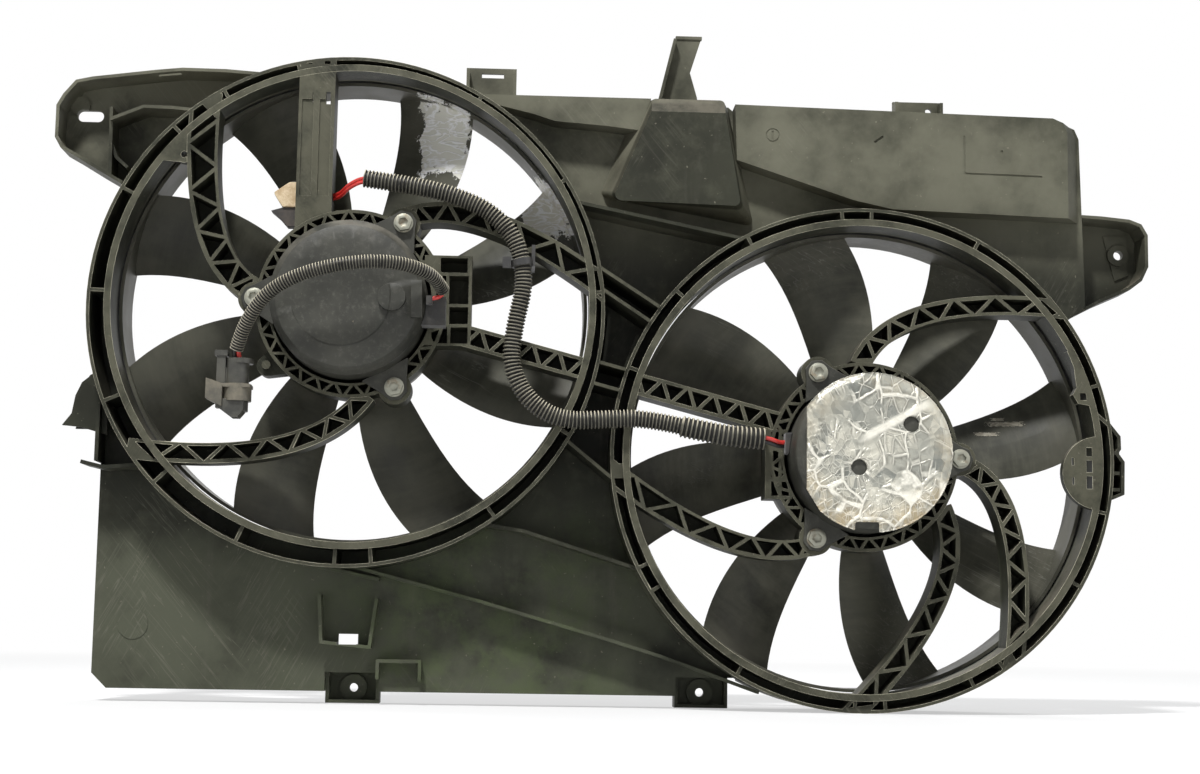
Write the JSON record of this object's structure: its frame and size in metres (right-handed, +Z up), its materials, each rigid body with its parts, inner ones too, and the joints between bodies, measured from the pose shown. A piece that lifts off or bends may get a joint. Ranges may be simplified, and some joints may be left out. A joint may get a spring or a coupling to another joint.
{
  "type": "radiator cooling fan",
  "caption": "Electric radiator cooling fan module: moulded shroud with banded fans on motors, wiring and a dropping resistor",
  "frame": {"origin": "under the middle of the module's box without the pigtail, at its lowest point, the bottom of the right fan barrel", "axes": "+X to the right as seen from the engine side, +Y forward to the radiator, +Z up"},
  "size_m": [0.758, 0.1423, 0.4715],
  "materials": {
    "shroud_plastic": "moulded glass-filled polyamide, weathered and dusty",
    "fan_plastic": "moulded, dusty",
    "motor_black": "black coated drawn steel",
    "bearing_steel": "ground",
    "core_steel": "stacked sheet steel",
    "copper": "copper, enamelled wire and bars",
    "ferrite": "sintered ferrite",
    "card_plastic": "phenolic card",
    "carbon": "pressed carbon",
    "zinc_steel": "zinc plated, dull",
    "foil": "embossed foil on insulation",
    "ceramic": "fired, unglazed",
    "dark_metal": "dark tinned strap",
    "conduit": "corrugated",
    "wire": "insulated copper",
    "tie_nylon": "nylon",
    "rubber": "moulded",
    "connector_plastic": "moulded"
  },
  "bodies": {
    "shroud": {"bottom_mounting_tabs": "shroud_plastic", "cable_tie": "tie_nylon", "connector_lock": "connector_plastic", "cross_strut": "shroud_plastic", "dropping_resistor": "ceramic", "harness_conduit": "conduit", "harness_leads": "wire", "harness_sleeve": "conduit", "left_brush_card": "card_plastic", "left_brushes": "carbon", "left_fan_barrel": "shroud_plastic", "left_front_bearing": "bearing_steel", "left_lead_grommet": "rubber", "left_lower_arm": "shroud_plastic", "left_motor_basket": "shroud_plastic", "left_motor_end_cover": "motor_black", "left_motor_magnets": "ferrite", "left_motor_screws": "zinc_steel", "left_motor_yoke": "motor_black", "left_mounting_ear": "shroud_plastic", "left_rear_bearing": "bearing_steel", "left_top_strut": "shroud_plastic", "left_upper_left_arm": "shroud_plastic", "left_upper_right_arm": "shroud_plastic", "pigtail_conduit": "conduit", "pigtail_connector": "connector_plastic", "pigtail_leads": "wire", "resistor_bracket": "dark_metal", "right_brush_card": "card_plastic", "right_brushes": "carbon", "right_fan_barrel": "shroud_plastic", "right_front_bearing": "bearing_steel", "right_heat_shield": "foil", "right_inner_arm": "shroud_plastic", "right_lead_grommet": "rubber", "right_lower_arm": "shroud_plastic", "right_motor_basket": "shroud_plastic", "right_motor_end_cover": "motor_black", "right_motor_magnets": "ferrite", "right_motor_screws": "zinc_steel", "right_motor_yoke": "motor_black", "right_mounting_ear": "shroud_plastic", "right_outer_arm": "shroud_plastic", "right_rear_bearing": "bearing_steel", "right_upper_arm": "shroud_plastic", "shroud_panel": "shroud_plastic", "shroud_skirt": "shroud_plastic"},
    "left_rotor": {"left_fan": "fan_plastic", "left_fan_nut": "zinc_steel", "left_rotor_shaft": "bearing_steel", "left_armature_core": "core_steel", "left_armature_windings": "copper", "left_commutator": "copper"},
    "right_rotor": {"right_fan": "fan_plastic", "right_fan_nut": "zinc_steel", "right_rotor_shaft": "bearing_steel", "right_armature_core": "core_steel", "right_armature_windings": "copper", "right_commutator": "copper"}
  },
  "joints": [
    {"name": "left_fan_spin", "type": "hinge", "parent": "shroud", "child": "left_rotor", "pos_m": [-0.17, 0, 0.264], "axis": [0, 1, 0], "continuous": true},
    {"name": "right_fan_spin", "type": "hinge", "parent": "shroud", "child": "right_rotor", "pos_m": [0.172, 0, 0.1685], "axis": [0, 1, 0], "continuous": true}
  ]
}
